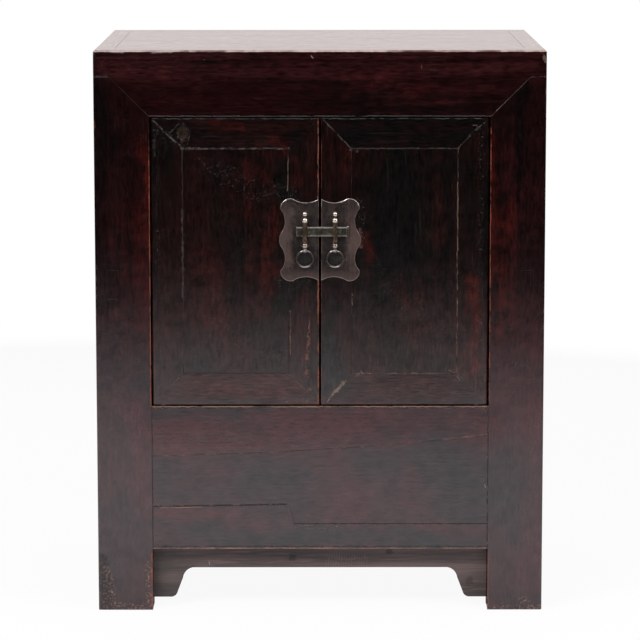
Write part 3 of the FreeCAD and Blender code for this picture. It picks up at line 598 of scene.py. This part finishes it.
apronMarks = {
    "saw": {"colour": paint(0.24, 0.185, 0.165), "breakScale": 130.0, "breaks": (0.40, 0.62),
            "lines": [sawCut(i) for i in range(sawCuts["count"])]},
    "scratch": {"colour": paint(0.45, 0.40, 0.37), "breakScale": 90.0, "breaks": (0.20, 0.40), "lines": [
        ((-0.1660, 0.0690), (-0.1650, 0.0640), 0.0011, 0.55),
    ]},
    "knots": {"colour": paint(0.020, 0.014, 0.012), "breakScale": 60.0, "breaks": (0.10, 0.30), "lines": [
        ((-0.0420, 0.0750), (-0.0400, 0.0752), 0.0090, 0.80),
        ((0.1020, 0.0830), (0.1045, 0.0830), 0.0080, 0.70),
        ((0.2230, 0.0400), (0.2232, 0.0380), 0.0110, 0.60),
    ]},
    "smoke": {"colour": paint(0.036, 0.034, 0.032), "breakScale": 24.0, "breaks": (0.20, 0.70), "lines": [
        ((-0.2400, 0.0760), (-0.2200, 0.0200), 0.0700, 0.60),
        ((-0.1000, 0.0860), (0.0000, 0.0860), 0.0120, 0.50),
    ]},
}
woodLook = {
    "plain": {"dark": paint(0.060, 0.034, 0.020), "mid": paint(0.150, 0.092, 0.054),
              "pale": paint(0.245, 0.160, 0.098), "rough": 0.72, "stain": 0.55, "marks": None,
              "rings": (0.05, 26.0, 4.0, 0.6)},
    "apron": {"dark": paint(0.050, 0.038, 0.036), "mid": paint(0.128, 0.090, 0.084),
              "pale": paint(0.200, 0.135, 0.120), "rough": 0.52, "stain": 0.30, "marks": apronMarks,
              "rings": (0.05, 34.0, 4.0, 0.6)},
}
# patterns as in the lacquer, and where rings, fibres and stains begin and are full
woodGrain = {"bend": (0.25, 7.0, 3.0, 0.5), "fibres": (0.05, 330.0, 4.0, 0.65), "stain": (1.0, 6.0, 4.0, 0.6)}
woodFine = {
    "ringBend": {"bend": 0.5}, "ringBreaks": (0.38, 0.62), "fibreBreaks": (0.46, 0.72), "fibreShare": 0.6,
    "stainBreaks": (0.48, 0.70), "rough": {"fibres": 0.2}, "roughMean": 0.1,
    "height": {"rings": 0.80, "fibres": 0.96, "stain": 0.48}, "depth": 0.0005,
}
lacqueredEnds = {"top_batten": 0, "shelf_rail": 2}  # grain of the rail or post that these ends come out of
endSkin = (0.0030, 0.0020)  # depths of the lacquer on such an end where it stops and is full


def makeWood(name, look, axis, hostAxis):
    fine = woodFine
    material, place = startMaterial(name)
    patterns = {**woodGrain, "rings": look["rings"]}
    grain = {key: grainNoise(place, axis, pattern) for key, pattern in patterns.items()}
    rings = step(stirred(grain["rings"], grain, fine["ringBend"]), *fine["ringBreaks"])
    base = tint(rings, look["dark"], look["mid"])
    base = tint(step(grain["fibres"], *fine["fibreBreaks"]) * fine["fibreShare"], base, look["pale"])
    base = tint(step(grain["stain"], *fine["stainBreaks"]) * look["stain"], base, look["dark"])
    if look["marks"]:
        base = wearLayer(place, vectors("MULTIPLY", place, frontPlane), 1.0, base, look["marks"])[0]
    rough = weighed(grain, fine["rough"]) + (look["rough"] - fine["roughMean"])
    height = weighed(grain, fine["height"])
    sockets = {"IOR": lacquerBody["IOR"], "Base Color": base, "Roughness": rough}
    if hostAxis is not None:
        # ends that come out on the case's front and back are lacquered with it
        y = split(place)[1]
        outside = larger(step(y, *[frontFace + depth for depth in endSkin]),
                         step(y, *[caseHigh.y - depth for depth in endSkin]))
        lacquer, coat, gloss, skin = lacquerSurface(place, lacquerLook["case"], softTone["case"], hostAxis)
        height = height + (skin - height) * outside
        sockets = {**lacquerBody, "Base Color": tint(outside, base, lacquer), "Coat Weight": outside * coat,
                   "Roughness": rough + (gloss - rough) * outside}
    finishMaterial(place, sockets, height, fine["depth"])
    return material


ringLow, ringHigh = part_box("ring_right")
ringPlace = (ringLow + ringHigh) / 2
ringReach = (ringHigh.x - ringLow.x) / 2
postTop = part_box("turned_post_right")[1].z
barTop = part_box("lock_bar")[1].z
plateLow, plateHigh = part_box("face_plate_right")
# polishAndHighlight: heights painted bright, partly where hands have rubbed the metal and partly as painted
# highlight, with half widths and strengths
metalLook = {
    "plate": {"dark": paint(0.019, 0.0148, 0.0142), "mid": paint(0.054, 0.039, 0.036),
              "bright": paint(0.50, 0.42, 0.40), "rough": 0.42, "metal": 0.70, "shine": 0.05, "pits": 260.0,
              "bands": True, "polishAndHighlight": [], "edgeShine": 0.22, "depth": 0.0006},
    "ring": {"dark": paint(0.042, 0.034, 0.032), "mid": paint(0.085, 0.068, 0.064),
             "bright": paint(0.60, 0.54, 0.52), "rough": 0.40, "metal": 0.80, "shine": 0.12, "pits": 380.0,
             "bands": False, "polishAndHighlight": [(ringPlace.z - ringReach, 0.0040, 0.55),
                                          (ringPlace.z + ringReach, 0.0036, 0.60)],
             "edgeShine": 0.25, "depth": 0.0003},
    "brass": {"dark": paint(0.092, 0.068, 0.048), "mid": paint(0.295, 0.216, 0.152),
              "bright": paint(0.80, 0.72, 0.64), "rough": 0.30, "metal": 0.92, "shine": 0.25, "pits": 300.0,
              "bands": False, "polishAndHighlight": [(postTop - 0.0025, 0.0040, 0.85), (postTop - 0.0125, 0.0040, 0.85),
                                           (postTop - 0.0510, 0.0030, 0.35)],
              "edgeShine": 0.60, "depth": 0.00012},
    "bronze": {"dark": paint(0.046, 0.043, 0.034), "mid": paint(0.150, 0.134, 0.104),
               "bright": paint(0.70, 0.66, 0.59), "rough": 0.36, "metal": 0.85, "shine": 0.20, "pits": 300.0,
               "bands": False, "polishAndHighlight": [(barTop - 0.0012, 0.0015, 0.95)], "edgeShine": 0.28,
               "depth": 0.00025},
}
# patterns as in the lacquer, upright, with scales as shares of the look's pits
metalGrain = {"pits": (1.0, 1.0, 4.0, 0.6), "cloud": (1.0, 0.25, 4.0, 0.6), "brushed": (0.08, 1.2, 3.0, 0.6)}
metalFine = {
    "tone": {"cloud": 0.45, "pits": 0.25, "brushed": 0.30}, "toneBreaks": (0.38, 0.64),
    "shineBreaks": (0.56, 0.74), "polishStir": {"pits": 0.002}, "polishCore": 0.5,
    "edge": (1.0, 0.4, 3.0, 0.6), "edgeBreaks": (0.30, 0.55),
    "roughPits": 0.16, "roughMean": 0.08, "shineSmooth": 0.18,
    "height": {"pits": 0.4, "cloud": 1.0, "brushed": 0.2},
}
plateBands = {
    "colour": paint(0.130, 0.086, 0.075), "middle": (0.058, 0.016), "middleMore": 0.65, "middleLeast": 0.15,
    "outer": (0.034, 0.050), "outerStir": {"cloud": 0.020, "brushed": 0.014},
    "foot": (0.022, 0.004), "footStir": {"cloud": 0.02}, "footShare": 0.60,
    "underRing": paint(0.022, 0.021, 0.021), "ringCore": 0.75, "ringShare": 0.7,
    "rim": (0.0160, 0.0080), "rimBreaks": (0.30, 0.50), "headHighlight": 0.90, "tailHighlight": 0.45,
}


def bandPlate(base, grain, x, z):
    # paler at the sides and foot, so that the middle by the posts stays darker, partly the plate's own tone
    # and partly painted shadow of the posts; darker inside the rings
    band = plateBands
    middle = step(size(z - (plateLow.z + plateHigh.z) / 2), *band["middle"])
    outer = step(stirred(size(x), grain, band["outerStir"]), *band["outer"])
    outer = outer * (middle * band["middleMore"] + band["middleLeast"])
    foot = step(stirred(z, grain, band["footStir"]), *[plateLow.z + rise for rise in band["foot"]])
    base = tint(larger(outer, foot * band["footShare"]), base, band["colour"])
    gap = vectors("DISTANCE", join(size(x), 0.0, z), Vector((ringPlace.x, 0.0, ringPlace.z)))
    inside = step(gap, ringReach, ringReach * band["ringCore"])
    return tint(inside * band["ringShare"], base, band["underRing"])


def rimHighlight(grain, z):
    # painted highlight along the rims, with some bright wear at the top: brightest along the top, and a
    # little along the bottom
    band = plateBands
    head = step(z, *[plateHigh.z - drop for drop in band["rim"]]) * band["headHighlight"]
    tail = step(z, *[plateLow.z + rise for rise in band["rim"]]) * band["tailHighlight"]
    return (head + tail) * step(grain["cloud"], *band["rimBreaks"])


def metalNoise(place, look, pattern):
    stretch, share, *shape = pattern
    return grainNoise(place, 2, (stretch, look["pits"] * share, *shape))


def makeMetal(name, look, onBevel):
    fine = metalFine
    material, place = startMaterial(name)
    x, z = split(place)[::2]
    grain = {key: metalNoise(place, look, pattern) for key, pattern in metalGrain.items()}
    base = tint(step(weighed(grain, fine["tone"]), *fine["toneBreaks"]), look["dark"], look["mid"])
    shine = step(grain["cloud"], *fine["shineBreaks"]) * look["shine"]
    # bands painted bright: partly rubbed metal, partly painted highlight
    for height, half, strength in look["polishAndHighlight"]:
        gap = stirred(size(z - height), grain, fine["polishStir"])
        shine = larger(shine, step(gap, half, half * fine["polishCore"]) * strength)
    if onBevel:
        # bevels painted bright at random, partly worn metal and partly painted highlight
        edge = metalNoise(place, look, fine["edge"])
        shine = larger(shine, step(edge, *fine["edgeBreaks"]) * look["edgeShine"])
    if look["bands"]:
        base = bandPlate(base, grain, x, z)
        if onBevel:
            shine = larger(shine, rimHighlight(grain, z))
    rough = grain["pits"] * fine["roughPits"] + (look["rough"] - fine["roughMean"])
    finishMaterial(place, {
        "Base Color": tint(shine, base, look["bright"]), "Metallic": look["metal"],
        "Roughness": rough - shine * fine["shineSmooth"],
    }, weighed(grain, fine["height"]), look["depth"])
    return material


# the finish of each slot of the frame, and how wide its edges are softened
finishOf = {
    "case_lacquer": ("case", 0.00025), "door_lacquer": ("door", 0.0005), "plain_wood": ("plain", 0.0004),
    "apron_wood": ("apron", 0.0010), "plate_iron": ("plate", 0.0009), "ring_iron": ("ring", 0.00020),
    "post_brass": ("brass", 0.00020), "bar_bronze": ("bronze", 0.0005),
}
dressing = {"weld": 0.00001, "flatAngle": 0.4, "edgeAngle": 35, "segments": 2, "endBevel": 0.0001}
axisNames = "XYZ"
made = {}


def makeFinish(finish, axis, hostAxis):
    # the surface and its worn edge
    grainName = axisNames[axis]
    if finish in lacquerLook:
        strokes = doorWear if finish == "door" else (caseAcrossWear, caseDeepWear, caseUprightWear)[axis]
        label = finish + "Lacquer" + grainName
        look, tone = lacquerLook[finish], softTone[finish]
        return (makeLacquer(label, look, tone, axis, strokes, False),
                makeLacquer(label + "Edge", look, tone, axis, strokes, True))
    if finish in woodLook:
        ends = "" if hostAxis is None else "Ends" + axisNames[hostAxis]
        wood = makeWood(finish + "Wood" + grainName + ends, woodLook[finish], axis, hostAxis)
        return wood, wood
    return (makeMetal(finish + "Metal", metalLook[finish], False),
            makeMetal(finish + "MetalEdge", metalLook[finish], True))


def materialsFor(finish, axis, hostAxis):
    # made once for each finish and grain
    key = finish if finish in metalLook else (finish, axis, hostAxis)
    if key not in made:
        made[key] = makeFinish(finish, axis, hostAxis)
    return made[key]


def dressNode(name, node):
    finish, bevelWidth = finishOf[node.material_slots[0].material.name.split(".")[0]]
    low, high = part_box(name)
    spans = list(high - low)
    hostAxis = lacqueredEnds.get(name.rpartition("_")[0])
    surface, edge = materialsFor(finish, spans.index(max(spans)), hostAxis)
    node.data.materials.clear()
    node.data.materials.append(surface)
    node.data.materials.append(edge)
    weld = node.modifiers.new("Weld", "WELD")
    weld.merge_threshold = dressing["weld"]
    flatten = node.modifiers.new("Flatten", "DECIMATE")
    flatten.decimate_type = "DISSOLVE"
    flatten.angle_limit = math.radians(dressing["flatAngle"])
    bevel = node.modifiers.new("Soften", "BEVEL")
    bevel.width = bevelWidth if hostAxis is None else dressing["endBevel"]
    bevel.segments = dressing["segments"]
    bevel.limit_method = "ANGLE"
    bevel.angle_limit = math.radians(dressing["edgeAngle"])
    bevel.material = 1
    bevel.use_clamp_overlap = finish not in metalLook
    normals = node.modifiers.new("Normals", "WEIGHTED_NORMAL")
    normals.keep_sharp = True


for nodeName, node in nodes.items():
    dressNode(nodeName, node)
print("CAD nodes dressed:", len(made), "finishes")


# pale near the cabinet and painted dark far off, as painted shade that stands in for light falling off, which
# its front mirrors
# white to the camera alone, or nearly so close by
floorLook = {
    "half": 14.0, "centre": (-0.3, 0.1, 0.0), "pale": paint(0.84, 0.83, 0.87),
    "far": paint(0.010, 0.009, 0.009), "fading": (3.95, 0.7), "whitening": (0.8, 2.4), "whiteLeast": 0.93,
}
white = paint(1.0, 1.0, 1.0)


def layFloor():
    bpy.ops.mesh.primitive_plane_add(size=2 * floorLook["half"], location=(0, 0, 0))
    floor = bpy.context.object
    floor.name = "floor"
    material, place = startMaterial("floorPaint")
    gap = vectors("DISTANCE", place, Vector(floorLook["centre"]))
    camera = place.node("ShaderNodeLightPath", output="Is Camera Ray")
    # painted shade: the paper's colour darkens far from the cabinet
    pale = tint(step(gap, *floorLook["fading"]), floorLook["far"], floorLook["pale"])
    paper = pale.node("ShaderNodeBsdfDiffuse", inputs={"Color": pale})
    glow = pale.node("ShaderNodeEmission", inputs={"Color": white, "Strength": 1.0})
    share = camera * larger(step(gap, *floorLook["whitening"]), floorLook["whiteLeast"])
    mixed = share.node("ShaderNodeMixShader", inputs={0: share, 1: paper, 2: glow})
    mixed.node("ShaderNodeOutputMaterial", inputs={"Surface": mixed})
    floor.data.materials.append(material)


# white to the camera; the backdrop's half is white to glossy and transmission rays too, the front is dark
worldLook = {
    "backdrop": (0.0, 0.55), "overhead": (0.35, 0.95), "level": 0.75, "frontLevel": 0.004,
    "colour": paint(1.0, 0.930, 0.920),
}


def lightWorld():
    world = bpy.data.worlds.new("studio")
    bpy.context.scene.world = world
    world.use_nodes = True
    tree = world.node_tree
    tree.nodes.clear()
    heading = Wire(tree, tree.nodes.new("ShaderNodeTexCoord").outputs["Generated"])
    y, z = split(heading)[1:]
    backdrop = step(y, *worldLook["backdrop"])
    overhead = step(z, *worldLook["overhead"])
    bright = larger(larger(backdrop, overhead) * worldLook["level"], worldLook["frontLevel"])
    path = heading.node("ShaderNodeLightPath").socket.node
    camera, glossy, through = [Wire(tree, path.outputs["Is " + ray + " Ray"])
                               for ray in ("Camera", "Glossy", "Transmission")]
    strength = larger(bright, larger(camera, larger(glossy, through) * backdrop))
    colour = tint(camera, worldLook["colour"], white)
    sky = heading.node("ShaderNodeBackground", inputs={"Color": colour, "Strength": strength})
    sky.node("ShaderNodeOutputWorld", inputs={"Surface": sky})


lamps = {
    "key": {"place": (-1.7, -2.5, 2.7), "span": (1.8, 1.4), "watts": 95.0},
    "fill": {"place": (2.3, -2.0, 2.2), "span": (1.6, 1.6), "watts": 55.0},
}
lampAim = Vector((0.0, 0.0, 0.35))


def hangLamps():
    for name, lamp in lamps.items():
        data = bpy.data.lights.new(name, "AREA")
        data.shape = "RECTANGLE"
        data.size, data.size_y = lamp["span"]
        data.energy = lamp["watts"]
        light = bpy.data.objects.new(name, data)
        light.location = lamp["place"]
        light.rotation_euler = (lampAim - light.location).to_track_quat("-Z", "Y").to_euler()
        bpy.context.scene.collection.objects.link(light)


eye = {
    "place": (-0.0056, -4.8934, 1.1445), "pitch": 8.644, "yaw": -0.073, "roll": 0.030,
    "lens": 180.15, "sensor": 36.0, "sight": 100.0,
}


def setCamera():
    data = bpy.data.cameras.new("camera")
    data.lens = eye["lens"]
    data.sensor_width = eye["sensor"]
    data.clip_end = eye["sight"]
    camera = bpy.data.objects.new("camera", data)
    camera.location = eye["place"]
    camera.rotation_euler = Euler((math.radians(90 - eye["pitch"]), math.radians(eye["roll"]),
                                   math.radians(eye["yaw"])))
    bpy.context.scene.collection.objects.link(camera)
    bpy.context.scene.camera = camera


layFloor()
lightWorld()
hangLamps()
setCamera()
bpy.context.scene.view_settings.view_transform = "Standard"
print("stage set")
